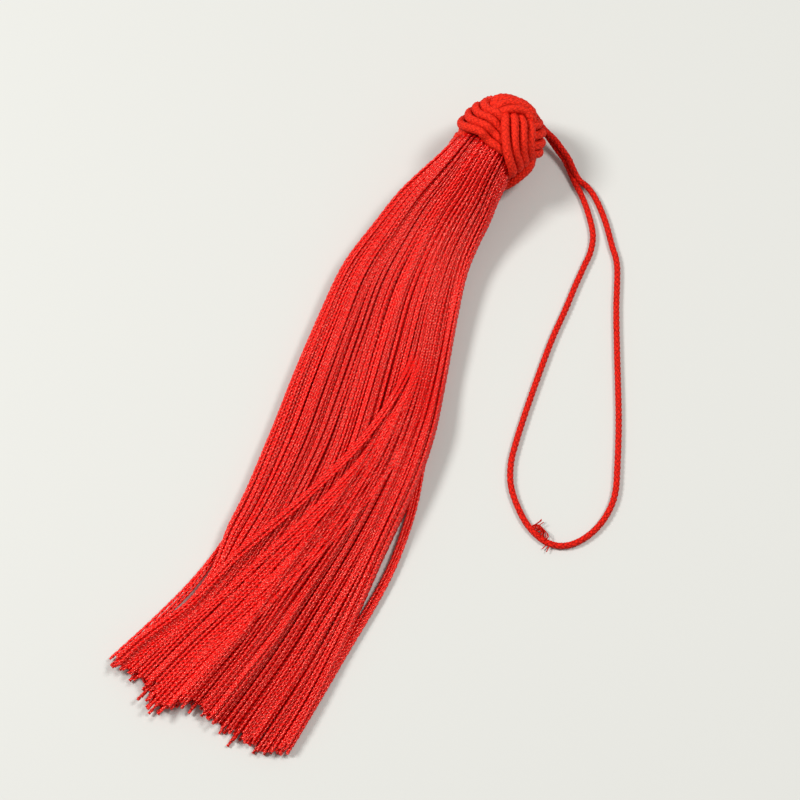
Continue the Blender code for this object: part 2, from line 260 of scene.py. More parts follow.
def even_lines(tree, given):
    """The lines as curves with a point every Step, each marked with how far along its line it is."""
    curves = add_node(tree, "GeometryNodeMeshToCurve", links={"Mesh": given["Geometry"]})
    even = add_node(
        tree, "GeometryNodeResampleCurve",
        {"mode": "LENGTH"}, {"Curve": curves.outputs[0], "Length": given["Step"]},
    )
    place = add_node(tree, "GeometryNodeSplineParameter")
    marked = add_node(
        tree, "GeometryNodeStoreNamedAttribute",
        {"data_type": "FLOAT", "domain": "POINT", "Name": "along"},
        {"Geometry": even.outputs[0], "Value": place.outputs["Length"]},
    )
    return marked.outputs[0], place.outputs["Length"]


def cord_tree(name, strands, sides):
    """Gives bare lines the thickness and the raised plait of a round braided cord."""
    mean_height = 0.6  # of the plait, at which the cord has its plain diameter
    tree, given = new_tree(name, ("Diameter", "Diamond Length", "Relief", "Step"))
    curves = even_lines(tree, given)[0]
    radius = add_node(tree, "ShaderNodeMath", {"operation": "MULTIPLY", 1: 0.5}, {0: given["Diameter"]})
    circle = add_node(
        tree, "GeometryNodeCurvePrimitiveCircle", {"mode": "RADIUS", "Resolution": sides},
        {"Radius": radius.outputs[0]},
    )
    ring = add_node(tree, "GeometryNodeSplineParameter")
    turned = add_node(
        tree, "GeometryNodeStoreNamedAttribute",
        {"data_type": "FLOAT", "domain": "POINT", "Name": "turn"},
        {"Geometry": circle.outputs[0], "Value": ring.outputs["Factor"]},
    )
    angle = add_node(
        tree, "ShaderNodeMath", {"operation": "MULTIPLY", 1: math.tau}, {0: ring.outputs["Factor"]}
    )
    level = add_node(tree, "ShaderNodeMath", {"operation": "COSINE"}, {0: angle.outputs[0]})
    upright = add_node(tree, "ShaderNodeMath", {"operation": "SINE"}, {0: angle.outputs[0]})
    around = add_node(tree, "ShaderNodeCombineXYZ", links={"X": level.outputs[0], "Y": upright.outputs[0]})
    marked = add_node(
        tree, "GeometryNodeStoreNamedAttribute",
        {"data_type": "FLOAT_VECTOR", "domain": "POINT", "Name": "around"},
        {"Geometry": turned.outputs[0], "Value": around.outputs[0]},
    )
    tube = add_node(
        tree, "GeometryNodeCurveToMesh",
        {"Fill Caps": True}, {"Curve": curves, "Profile Curve": marked.outputs[0]},
    )
    turn = add_node(tree, "GeometryNodeInputNamedAttribute", {"data_type": "FLOAT", "Name": "turn"})
    along = add_node(tree, "GeometryNodeInputNamedAttribute", {"data_type": "FLOAT", "Name": "along"})
    diamonds = add_node(
        tree, "ShaderNodeMath",
        {"operation": "DIVIDE"}, {0: along.outputs["Attribute"], 1: given["Diamond Length"]},
    )
    height = plait_height(tree, turn.outputs["Attribute"], diamonds.outputs[0], strands)
    above = add_node(tree, "ShaderNodeMath", {"operation": "SUBTRACT", 1: mean_height}, {0: height})
    raised = add_node(
        tree, "ShaderNodeMath", {"operation": "MULTIPLY"}, {0: above.outputs[0], 1: given["Relief"]}
    )
    outward = add_node(tree, "GeometryNodeInputNormal")
    offset = add_node(
        tree, "ShaderNodeVectorMath",
        {"operation": "SCALE"}, {0: outward.outputs[0], "Scale": raised.outputs[0]},
    )
    plaited = add_node(
        tree, "GeometryNodeSetPosition", links={"Geometry": tube.outputs[0], "Offset": offset.outputs[0]}
    )
    end_tree(tree, plaited.outputs[0], given["Material"])
    return tree


def made_by(tree, host, values):
    """Runs a tree on the host's lines and keeps the result as a plain mesh in the host's place."""
    modifier = host.modifiers.new(tree.name, "NODES")
    modifier.node_group = tree
    for item in tree.interface.items_tree:
        if item.in_out == "INPUT" and item.name in values:
            modifier[item.identifier] = values[item.name]
    graph = bpy.context.evaluated_depsgraph_get()
    host.data = bpy.data.meshes.new_from_object(host.evaluated_get(graph))
    host.modifiers.remove(modifier)
    return host


def linear(hex_colour):
    """An sRGB hex colour as linear red, green, blue and alpha."""
    shares = [int(hex_colour[first:first + 2], 16) / 255 for first in (0, 2, 4)]
    return (*[c / 12.92 if c <= 0.04045 else ((c + 0.055) / 1.055) ** 2.4 for c in shares], 1.0)


def braided_polyester(name, shaded_valley, lit_crest, strands, diamond_length, relief, plaited):
    """Braided polyester cord: matte, with painted shade of deep red in the valleys between its strands and
    painted highlights on each strand where tufts of fine filaments stand up."""
    waver_scale = 900.0  # one bend of the strands every 1.1 mm
    fuzz_scale = 2600.0  # one tuft of filaments every 0.4 mm, far coarser than real ones so that it shows
    fuzz_share = 1.3
    middle = 0.65 + 0.5 * plaited  # height at which the colour is halfway
    material = bpy.data.materials.new(name)
    material.use_nodes = True
    tree = material.node_tree
    shader = tree.nodes["Principled BSDF"]
    shader.inputs["Roughness"].default_value = 0.7
    shader.inputs["IOR"].default_value = 1.5
    shader.inputs["Specular Tint"].default_value = linear("FF8C70")
    shader.inputs["Specular IOR Level"].default_value = 0.45
    around = add_node(tree, "ShaderNodeAttribute", {"attribute_name": "around"})
    along = add_node(tree, "ShaderNodeAttribute", {"attribute_name": "along"})
    split = add_node(tree, "ShaderNodeSeparateXYZ", links={0: around.outputs["Vector"]})
    angle = add_node(
        tree, "ShaderNodeMath", {"operation": "ARCTAN2"}, {0: split.outputs["Y"], 1: split.outputs["X"]}
    )
    turns = add_node(tree, "ShaderNodeMath", {"operation": "DIVIDE", 1: math.tau}, {0: angle.outputs[0]})
    diamonds = add_node(
        tree, "ShaderNodeMath", {"operation": "DIVIDE", 1: diamond_length}, {0: along.outputs["Fac"]}
    )
    place = add_node(tree, "ShaderNodeTexCoord")
    uneven = add_node(
        tree, "ShaderNodeTexNoise",
        {"Scale": waver_scale, "Detail": 1.0}, {"Vector": place.outputs["Object"]},
    )
    shifted = add_node(
        tree, "ShaderNodeMath", {"operation": "ADD"}, {0: diamonds.outputs[0], 1: uneven.outputs["Fac"]}
    )
    height = plait_height(tree, turns.outputs[0], shifted.outputs[0], strands)
    fuzz = add_node(
        tree, "ShaderNodeTexNoise",
        {"Scale": fuzz_scale, "Detail": 2.0}, {"Vector": place.outputs["Object"]},
    )
    braid = add_node(tree, "ShaderNodeMath", {"operation": "MULTIPLY", 1: plaited}, {0: height})
    rough = add_node(
        tree, "ShaderNodeMath",
        {"operation": "MULTIPLY_ADD", 1: fuzz_share}, {0: fuzz.outputs["Fac"], 2: braid.outputs[0]},
    )
    shade = add_node(
        tree, "ShaderNodeMapRange",
        {"From Min": middle - 0.55, "From Max": middle + 0.45}, {"Value": rough.outputs[0]},
    )
    # Painted light: the valley colour is painted shade between the strands, the crest colour a painted
    # highlight on the raised strands and the tufts of fuzz.
    colour = add_node(
        tree, "ShaderNodeMix",
        {"data_type": "RGBA", 6: linear(shaded_valley), 7: linear(lit_crest)}, {0: shade.outputs[0]},
    )
    bump = add_node(
        tree, "ShaderNodeBump", {"Strength": 0.6, "Distance": relief}, {"Height": rough.outputs[0]}
    )
    tree.links.new(colour.outputs[2], shader.inputs["Base Color"])
    tree.links.new(bump.outputs[0], shader.inputs["Normal"])
    return material


loop_places = [(KNOT_CENTRE.x + across, KNOT_CENTRE.y - down, above) for across, down, above in LOOP_ROUTE]
loop_line = smooth_line(loop_places, LOOP_POINTS)
# Painted shade in the valleys, then the painted highlight on the strands. Both are darker than the knot's,
# partly as painted shade for the shadow that the loop lies in.
loop_polyester = braided_polyester(
    "braided_polyester_loop", "8C0606", "EC2014", LOOP_STRANDS, LOOP_BRAID_LENGTH, LOOP_BUMP, LOOP_PLAITED
)
hanging_loop = made_by(
    cord_tree("loop_cord", LOOP_STRANDS, LOOP_SIDES),
    lines_object("hanging_loop_cord", [loop_line]),
    {
        "Diameter": LOOP_CORD, "Diamond Length": LOOP_BRAID_LENGTH, "Relief": LOOP_RELIEF,
        "Step": LOOP_STEP, "Material": loop_polyester,
    },
)
frayed_at = min(range(LOOP_POINTS), key=lambda index: (loop_line[index] - FRAY_PLACE).length)
fray_chance = random.Random(FRAY_SEED)
filament_lines = []
for shift, count, bends in FRAY_TUFTS:
    for number in range(count):
        root = loop_line[frayed_at + shift + fray_chance.randint(-1, 1)]
        reach = fray_chance.uniform(*FRAY_REACH)
        lift = fray_chance.uniform(0.0, FRAY_LIFT)
        route = []
        for across, along in bends:
            spread = FRAY_SPREAD * math.hypot(across, along)
            point = root + Vector((across, along, lift * abs(across))) * reach
            point += Vector([fray_chance.uniform(-spread, spread) for axis in range(3)])
            route.append((point.x, point.y, max(point.z, FILAMENT)))
        filament_lines.append(smooth_line(route, FILAMENT_POINTS))
frayed_ends = made_by(
    cord_tree("frayed_filament", 2, FILAMENT_SIDES),
    lines_object("frayed_ends", filament_lines),
    {
        "Diameter": FILAMENT, "Diamond Length": LOOP_BRAID_LENGTH, "Relief": 0.0, "Step": FILAMENT_STEP,
        "Material": loop_polyester,
    },
)
for piece in (hanging_loop, frayed_ends):
    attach(piece, "root")
    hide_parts("hanging_loop")


# The ball knot is one length of 1.7 mm braided polyester cord. It is laid round as a turk's head of three
# leads and four bights, followed round to four passes and drawn up tight over the fringe's bound head.
# The same lay rules the solid: a wave in latitude, with the cord over and under by turns.
KNOT_CORD = 0.00168
PASS_GAP = 0.00178  # from the middle of one pass of the cord to the next
KNOT_STRANDS = 10
KNOT_BRAID_LENGTH = 0.0010
KNOT_RELIEF = 0.00022
KNOT_BUMP = 0.0002
KNOT_PLAITED = 0.6
KNOT_SIDES = 22
KNOT_STEP = 0.00025
PASSES = 4
LEADS = 3
BIGHTS = 4
SHELL_RADIUS = 0.0073  # of the middle of the band of cords, where it lies neither over nor under
SKIRT_RADIUS = 0.030  # of the bend of the shell below its equator
LAYER_LIFT = 0.42 * PASS_GAP  # how far the band rises over the shell and dips under it by turns
LIFT_SHARPNESS = 3.5  # how quickly the band goes from over to under
WAVE_FIRST = math.radians(48.5)  # how far the band swings to each side of its middle latitude
WAVE_THIRD = math.radians(-6.5)  # broadens the bights
LATITUDE_SCALE = 0.91
LATITUDE_SHIFT = math.radians(11)
AXIS_TURN = math.radians(12)  # of the knot's axis from +Y towards +X, at the end where the loop comes out
AXIS_DIP = math.radians(6)  # of that end towards the table
KNOT_SPIN = math.radians(40)
STEPS_ROUND = 480
CORD_SWAY = 0.0002  # how far a pass strays from its even course
SWAY_ACROSS = 900  # how quickly that changes across the passes, in a metre
SWAY_ROUND = 9  # and how quickly on the way round the knot
KNOT_SEED = 1795801341  # without one the noise starts from the clock, and no two runs tie the same knot


def knot_frame():
    """The knot's own frame: Z along its axis towards the loop, its centre at KNOT_CENTRE."""
    level = math.cos(AXIS_DIP)
    axis = Vector((math.sin(AXIS_TURN) * level, math.cos(AXIS_TURN) * level, -math.sin(AXIS_DIP)))
    side = axis.cross(Vector((0, 0, 1))).normalized()
    up = side.cross(axis)
    turn = Matrix((up, side, axis)).transposed().to_4x4()
    return Matrix.Translation(KNOT_CENTRE) @ turn @ Matrix.Rotation(KNOT_SPIN, 4, "Z")


def band_direction(t):
    """The middle of the band of cords as a direction from the knot's centre, t from 0 to 2 pi."""
    phase = BIGHTS * t
    wave = WAVE_FIRST * math.cos(phase) + WAVE_THIRD * math.cos(3 * phase)
    latitude = LATITUDE_SCALE * wave + LATITUDE_SHIFT
    longitude = -LEADS * t
    return Vector((
        math.cos(latitude) * math.cos(longitude),
        math.cos(latitude) * math.sin(longitude),
        math.sin(latitude),
    ))


def shell_point(direction, height):
    """A point at a height over the shell: a sphere above the equator, and a steeper skirt below it."""
    latitude = math.asin(max(-1.0, min(1.0, direction.z)))
    round_axis = Vector((direction.x, direction.y, 0)).normalized()
    if latitude >= 0:
        return direction * (SHELL_RADIUS + height)
    bend = -latitude * SHELL_RADIUS / SKIRT_RADIUS
    out = SHELL_RADIUS - SKIRT_RADIUS * (1 - math.cos(bend)) + height * math.cos(bend)
    return round_axis * out - Vector((0, 0, (SKIRT_RADIUS + height) * math.sin(bend)))


def cord_place(t, offset):
    """A place on the middle of one pass of the cord, at its offset from the middle of the band."""
    here = band_direction(t)
    along = (band_direction(t + 0.001) - here).normalized()
    sideways = here.cross(along).normalized()
    angle = offset / SHELL_RADIUS
    direction = here * math.cos(angle) + sideways * math.sin(angle)
    lift = LAYER_LIFT * math.tanh(LIFT_SHARPNESS * math.sin(2 * BIGHTS * t))
    place = knot_place @ shell_point(direction.normalized(), lift)
    noise_place = Vector((offset * SWAY_ACROSS, SWAY_ROUND * math.cos(t), SWAY_ROUND * math.sin(t)))
    place += CORD_SWAY * noise.noise_vector(noise_place)
    place.z = max(place.z, KNOT_CORD / 2)
    return place


noise.seed_set(KNOT_SEED)
knot_place = knot_frame()
knot_lines = []
for number in range(PASSES):
    offset = (number - (PASSES - 1) / 2) * PASS_GAP
    knot_lines.append([
        cord_place(math.tau * step / STEPS_ROUND, offset) for step in range(STEPS_ROUND)
    ])
# Painted shade in the valleys, then the painted highlight on the strands.
knot_polyester = braided_polyester(
    "braided_polyester_knot", "A8120A", "FC321E", KNOT_STRANDS, KNOT_BRAID_LENGTH, KNOT_BUMP, KNOT_PLAITED
)
knot = made_by(
    cord_tree("knot_cord", KNOT_STRANDS, KNOT_SIDES),
    lines_object("ball_knot", knot_lines, closed=True),
    {
        "Diameter": KNOT_CORD, "Diamond Length": KNOT_BRAID_LENGTH, "Relief": KNOT_RELIEF,
        "Step": KNOT_STEP, "Material": knot_polyester,
    },
)
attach(knot, "root")
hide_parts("knot")


# The fringe is a hank of rayon thread, two plies twisted together to 0.65 mm, folded over the loop's cord,
# bound at the fold, pulled up into the knot and cut about level. The threads leave the mouth as a round
# bundle, sink to the table and spread into flat layers, in locks that part a little.
THREAD_WIDE = 0.00068
THREAD_NARROW = 0.00049
THREAD_TWIST = 0.0020  # length of one full turn of the two plies, coarser than on the real thread
PLY_STITCH = 0.0006  # between the real thread's fine turns, which show only as marks of painted highlight in colour and in the bump
FILAMENT_SPECK = 0.0003  # size of the specks of painted highlight; real filaments are finer and would not show
TURN_SPREAD = 50.0  # radians by which threads' turns differ, so that neighbours don't turn in step
THREAD_STEP = 0.0004
THREAD_LAYERS = 5
THREAD_COLUMNS = 57
COLUMNS_IN_LOCK = 3
LOW_LAYERS = 2  # lie straighter than the ones above them
LOW_LOOSENESS = 0.3
LOW_JITTER = 0.1  # how far a thread of these strays from its place across, in columns
JITTER = 0.3  # and one above, and how much the levels of the crossing and covering threads differ
STATION_GAP = 0.0012  # down the fringe, between the points of a thread
HEAD_DEPTH = 0.0034  # of the bound head below the knot's centre, where the threads begin
CLIMB_LENGTH = 0.015  # down the fringe, in which a crossing or covering thread climbs over the rest
SINKING = (0.080, 0.115)  # down the fringe, from where to where covering threads come down again
LOOSENING = (0.012, 0.045)  # from where the knot holds the threads to where they waver freely
LAYERED_DEPTH = 0.75  # share of the fringe's depth that its even layers take up
CUT_SPREAD = 0.0006  # of the cut ends about the line of the tips
LONG_END = 0.0022  # by which a few ends stand out
LONG_END_CHANCE = 0.025
SHORT_END = 0.0012  # by which ends of the lowest layer may be shorter, and those of higher ones less
RIM_CROWDING = 0.34  # 0.5 spreads the threads evenly over the mouth, and less crowds them at its rim
MOUTH_JITTER = 0.02
FRINGE_SEED = 7
# How a lock of threads or one thread wavers: how far, how often in a metre, and two numbers that place it
# in the noise
LOCK_SWAY = (0.0005, 15, 5.17, 1.3)
LOCK_RISE = (0.0005, 11, 3.31, 8.2)
OWN_SWAY = (0.0004, 26, 7.31, 3.1)
OWN_RISE = (0.0003, 30, 3.77, 9.4)
# How much the edges are drawn in and the strays bow out, and from where to where that grows and ends
RIGHT_BAY = (0.40, 0.058, 0.090, 0.088, 0.125)
LEFT_BAY = (0.38, 0.094, 0.106, 0.111, 0.124)
STRAY_BOW = (0.38, 0.064, 0.080, 0.086, 0.108)
RIGHT_BAY_FROM = 0.6  # place across
LEFT_BAY_FROM = -0.72
STRAY_BOW_TO = 1.06
# Dullest and brightest thread of the five layers, the crossing threads and the covering ones
# The crossing threads' brighter range is a painted highlight and the covering threads' darker range painted
# shade; the five layers' threads differ only at random.
LAYER_TONES_AND_PAINTED_LIGHT = ((0, 1), (0, 1), (0, 1), (0, 1), (0, 1), (0.6, 1.1), (0, 0.8))
CROSSING_LAYER = 2  # on the right its threads sweep to the left, over the others there
CROSSING_FROM = 0.42
CROSSING_TO = 0.90
CROSSING_TIPS = (-0.60, 0.44)  # place across at the tips of the first of them, and how far the rest spread
CROSSING_TURN = (0.048, 0.122)  # down the fringe, from where to where they cross over
CROSSING_LEVEL = 4.8  # in layers above the table
FANNING_PULL = 0.28  # how far the upper threads of the rest fan out to the left
FANNING_TURN = (0.065, 0.124)
COVERING_LEVEL = 5.6  # of the top layer on the right, which lies over the crossing threads
COVERING_TIPS = (-0.19, 1.19)
COVERING_TURN = (0.048, 0.108)
COVERING_SINK = 2.6  # layers that it comes down again at its right edge
COVERING_SUNK_FROM = 0.8
COVERING_EXTRA = 14  # more of its threads, which come from the middle of the bundle
EXTRA_UP = 0.3  # their place up in the mouth
EXTRA_LAYER = 3
EXTRA_CLIMB = 1.6
EXTRA_SINK = 2.0
STRAND_UP = 0.5  # the same for the crossing strands of the table below
STRAND_LAYER = 3
STRAY_MOUTH = (0.95, 0.1)  # a stray's place in the mouth, across and up
STRAY_LAYER = 1
# The first lock and thread numbers of the threads outside the even layers, so that each wavers on its own
CROSSING_LOCKS = 50
EXTRA_LOCKS = 20
EXTRA_NUMBERS = 400
STRAND_LOCK = 90
STRAND_NUMBERS = 500
STRAY_LOCKS = 200
STRAY_NUMBERS = 600
CROSSING_STRANDS = (
    # place across high up, place across at the tips, where it leaves the first, where it settles, its level
    (0.48, -1.00, 0.045, 0.120, 6.0),
    (0.51, -0.97, 0.045, 0.120, 6.0),
    (0.55, -0.93, 0.045, 0.120, 6.0),
    (0.58, -0.71, 0.045, 0.120, 5.2),
    (0.61, -0.67, 0.045, 0.120, 5.2),
    (0.64, -0.63, 0.045, 0.120, 5.2),
    (0.67, -0.58, 0.045, 0.120, 5.2),
    (0.78, -0.25, 0.050, 0.125, 5.2),
    (0.81, -0.22, 0.050, 0.125, 5.2),
)
FRINGE_SECTIONS = (
    # down, across, half_width, underside, depth, lean, spread, settled
    (0.0034, -0.0009, 0.0061, 0.0026, 0.0120, 12, 0.00, 0.00),
    (0.0060, -0.0014, 0.0067, 0.0020, 0.0132, 12, 0.02, 0.00),
    (0.0108, -0.0023, 0.0076, 0.0010, 0.0124, 13, 0.30, 0.00),
    (0.0150, -0.0032, 0.0086, 0.0004, 0.0106, 12, 0.70, 0.05),
    (0.0200, -0.0043, 0.0094, 0.0000, 0.0090, 8, 1.00, 0.15),
    (0.0270, -0.0049, 0.0104, 0.0000, 0.0073, 4, 1.00, 0.35),
    (0.0370, -0.0047, 0.0124, 0.0000, 0.0058, 0, 1.00, 0.65),
    (0.0490, -0.0027, 0.0138, 0.0000, 0.0048, 0, 1.00, 0.90),
    (0.0620, -0.0003, 0.0149, 0.0000, 0.0042, 0, 1.00, 1.00),
    (0.0760, 0.0021, 0.0155, 0.0000, 0.0038, 0, 1.00, 1.00),
    (0.0920, 0.0036, 0.0156, 0.0000, 0.0036, 0, 1.00, 1.00),
    (0.1100, 0.0028, 0.0158, 0.0000, 0.0034, 0, 1.00, 1.00),
    (0.1320, -0.0013, 0.0185, 0.0000, 0.0032, 0, 1.00, 1.00),
)
TIP_LINE = (
    # place across from -1 at the left edge to 1 at the right, and how far down the threads are cut there
    (-1.10, 0.1272),
    (-0.81, 0.1280),
    (-0.66, 0.1281),
    (-0.52, 0.1297),
    (-0.35, 0.1317),
    (-0.21, 0.1299),
    (-0.13, 0.1280),
    (0.07, 0.1286),
    (0.31, 0.1300),
    (0.56, 0.1302),
    (0.80, 0.1306),
    (0.95, 0.1290),
    (1.08, 0.1280),
)
STRAY_THREADS = (
    # place across high up, place across at the tips, where it leaves the others and where it settles
    (0.95, 1.00, 0.060, 0.088),
    (0.94, 0.98, 0.062, 0.092),
    (0.92, 0.97, 0.064, 0.112),
    (0.89, 0.95, 0.066, 0.096),
    (0.87, 0.94, 0.068, 0.124),
    (0.84, 0.91, 0.068, 0.110),
    (-0.97, -1.08, 0.091, 0.116),
    (-0.98, -1.04, 0.094, 0.119),
    (-0.96, -1.01, 0.098, 0.124),
)


def row_at(rows, place):
    """A row of a table at a place between two of its rows, on a smooth curve through the table."""
    index = max([number for number in range(len(rows) - 1) if rows[number][0] <= place], default=0)
    before, here = rows[max(index - 1, 0)], rows[index]
    after, beyond = rows[index + 1], rows[min(index + 2, len(rows) - 1)]
    gap = after[0] - here[0]
    s = (place - here[0]) / gap
    smoothed = []
    for a, b, c, d in zip(before, here, after, beyond):
        leaving = (c - a) / (after[0] - before[0]) * gap
        arriving = (d - b) / (beyond[0] - here[0]) * gap
        bend = (3 * (c - b) - 2 * leaving - arriving) * s ** 2 + (2 * (b - c) + leaving + arriving) * s ** 3
        smoothed.append(b + leaving * s + bend)
    return smoothed


def mouth_places(count, chance):
    """Places spread over the round mouth, closest at its rim, in half sizes of it, as across and up."""
    golden = math.pi * (3 - math.sqrt(5))
    places = []
    for number in range(count):
        jitter = chance.uniform(-MOUTH_JITTER, MOUTH_JITTER)
        reach = min(0.99, ((number + 0.5) / count) ** RIM_CROWDING + jitter)
        places.append((reach * math.cos(golden * number), reach * math.sin(golden * number)))
    return places


def laid_threads(chance):
    """Each thread's place in the mouth, and its column and layer at the tips. Neighbours stay neighbours."""
    places = sorted(mouth_places(THREAD_COLUMNS * THREAD_LAYERS, chance))
    in_lock = COLUMNS_IN_LOCK * THREAD_LAYERS
    laid = []
    for first in range(0, len(places), in_lock):
        lock = sorted(places[first:first + in_lock], key=lambda place: place[1])
        for layer in range(THREAD_LAYERS):
            row = sorted(lock[layer * COLUMNS_IN_LOCK:(layer + 1) * COLUMNS_IN_LOCK])
            for beside, (across, up) in enumerate(row):
                laid.append((across, up, first // THREAD_LAYERS + beside, layer))
    return laid


def eased(value, low, high):
    """0 below low, 1 above high, and a smooth ramp between them."""
    share = min(1.0, max(0.0, (value - low) / (high - low)))
    return share * share * (3 - 2 * share)


def swelling(down, most, begins, grown, wanes, ends):
    """0 before it begins and after it ends, with a smooth rise and fall between."""
    return most * eased(down, begins, grown) * (1 - eased(down, wanes, ends))


def drawn_in(share, down):
    """The place across of a thread near an edge, drawn in where a few strays part from the rest."""
    right = swelling(down, *RIGHT_BAY) * max(0.0, share - RIGHT_BAY_FROM)
    left = swelling(down, *LEFT_BAY) * min(0.0, share - LEFT_BAY_FROM)
    return share - right - left


def bowed_out(share, down):
    """The place across of a stray thread. Those on the right bow out beside the gap there."""
    bow = swelling(down, *STRAY_BOW)
    return share + bow * (STRAY_BOW_TO - share) if share > 0 else share


def waver(kind, number, down, level=0):
    """How far a lock or a thread strays from its course at a place down the fringe."""
    reach, often, apart, start = kind
    return reach * noise.noise(Vector((number * apart, down * often, start + level)))


stations = []
down = HEAD_DEPTH
while down < FRINGE_SECTIONS[-1][0]:
    stations.append(row_at(FRINGE_SECTIONS, down))
    down += STATION_GAP


def crossing_course(place):
    """The course of a thread on the right that comes out from under the top threads, further left."""
    share = (place - CROSSING_FROM) / (CROSSING_TO - CROSSING_FROM)
    return place, CROSSING_TIPS[0] + CROSSING_TIPS[1] * share, *CROSSING_TURN


def fanning_course(place):
    """The course of an upper thread of the rest, which fans out to the left with the crossing threads."""
    return place, place - FANNING_PULL * (1 - place ** 2), *FANNING_TURN


def covering_course(place):
    """The course of a thread of the top layer on the right, which fans out over the crossing threads."""
    share = (place - CROSSING_FROM) / (1 - CROSSING_FROM)
    return place, COVERING_TIPS[0] + COVERING_TIPS[1] * share, *COVERING_TURN


def thread_line(mouth, course, layer, lock, number, over=0.0, sinks=0.0, stray=False):
    """The middle line of one thread from the bound head to its cut end. Its course is its place across high
    up, its place across at the tips, and where it leaves the first and settles at the second. Over is how
    many layers it climbs as it leaves, and sinks how many it comes down again before the tips."""
    neck_across, neck_up = mouth
    upper, lower, leaves, settles = course
    cut_at = row_at(TIP_LINE, lower)[1] + chance.gauss(0, CUT_SPREAD)
    cut_at += LONG_END * (chance.random() < LONG_END_CHANCE)
    cut_at -= SHORT_END * chance.random() * (1 - layer / THREAD_LAYERS)
    line = []
    for section in stations:
        down, across, half_width, underside, depth, lean, spread, settled = section
        if down > cut_at:
            break
        free = eased(down, *LOOSENING)
        tip_share = upper + (lower - upper) * eased(down, leaves, settles)
        tip_share = bowed_out(tip_share, down) if stray else drawn_in(tip_share, down)
        here = layer + over * eased(down, leaves, leaves + CLIMB_LENGTH) - sinks * eased(down, *SINKING)
        sideways = half_width * (neck_across + (tip_share - neck_across) * spread)
        top = underside + LAYERED_DEPTH * depth + THREAD_NARROW
        half = THREAD_WIDE / 2
        in_mouth = underside + half + (depth - 2 * half) * (neck_up + 1) / 2
        in_layers = half + (top - 2 * half) * here / (THREAD_LAYERS - 1)
        height = in_mouth + (in_layers - in_mouth) * settled
        loose = 1.0 if layer >= LOW_LAYERS else LOW_LOOSENESS
        sway = waver(LOCK_SWAY, lock, down, layer // 2) + waver(OWN_SWAY, number, down)
        rise = waver(LOCK_RISE, lock, down) * layer / (THREAD_LAYERS - 1) + waver(OWN_RISE, number, down)
        sideways += free * loose * sway
        height += free * rise
        angle = math.radians(lean)
        line.append(Vector((
            KNOT_CENTRE.x + across + sideways * math.cos(angle),
            KNOT_CENTRE.y - down - sideways * math.sin(angle),
            max(height, 0.5 * (THREAD_WIDE + THREAD_NARROW) / 2),
        )))
    last_step = (line[-1] - line[-2]).normalized()
    line.append(line[-1] + last_step * max(0.0002, cut_at - stations[len(line) - 1][0]))
    return line


def thread_tree():
    """Gives bare lines the twisted section of a two-ply thread, cut off square at its end."""
    tree, given = new_tree("two_ply_thread", ("Ply Width", "Ply Thickness", "Twist Length", "Step"))
    curves, length = even_lines(tree, given)
    turns = add_node(tree, "ShaderNodeMath", {"operation": "DIVIDE"}, {0: length, 1: given["Twist Length"]})
    tone = add_node(tree, "GeometryNodeInputNamedAttribute", {"data_type": "FLOAT", "Name": "tone"})
    start = add_node(
        tree, "ShaderNodeMath", {"operation": "MULTIPLY", 1: TURN_SPREAD}, {0: tone.outputs["Attribute"]}
    )
    twist = add_node(
        tree, "ShaderNodeMath",
        {"operation": "MULTIPLY_ADD", 1: math.tau}, {0: turns.outputs[0], 2: start.outputs[0]},
    )
    twisted = add_node(tree, "GeometryNodeSetCurveTilt", links={"Curve": curves, "Tilt": twist.outputs[0]})
    corners = 4  # a crest for each ply and the two grooves between them
    ring = add_node(
        tree, "GeometryNodeCurvePrimitiveCircle", {"mode": "RADIUS", "Resolution": corners, "Radius": 0.5}
    )
    place = add_node(tree, "GeometryNodeSplineParameter")
    angle = add_node(
        tree, "ShaderNodeMath", {"operation": "MULTIPLY", 1: math.tau}, {0: place.outputs["Factor"]}
    )
    sine = add_node(tree, "ShaderNodeMath", {"operation": "SINE"}, {0: angle.outputs[0]})
    groove = add_node(tree, "ShaderNodeMath", {"operation": "ABSOLUTE"}, {0: sine.outputs[0]})
    marked = add_node(
        tree, "GeometryNodeStoreNamedAttribute",
        {"data_type": "FLOAT", "domain": "POINT", "Name": "groove"},
        {"Geometry": ring.outputs[0], "Value": groove.outputs[0]},
    )
    size = add_node(
        tree, "ShaderNodeCombineXYZ", {"Z": 1.0}, {"X": given["Ply Width"], "Y": given["Ply Thickness"]}
    )
    profile = add_node(
        tree, "GeometryNodeTransform", links={"Geometry": marked.outputs[0], "Scale": size.outputs[0]}
    )
    tube = add_node(
        tree, "GeometryNodeCurveToMesh",
        {"Fill Caps": True}, {"Curve": twisted.outputs[0], "Profile Curve": profile.outputs[0]},
    )
    end_tree(tree, tube.outputs[0], given["Material"])
    return tree


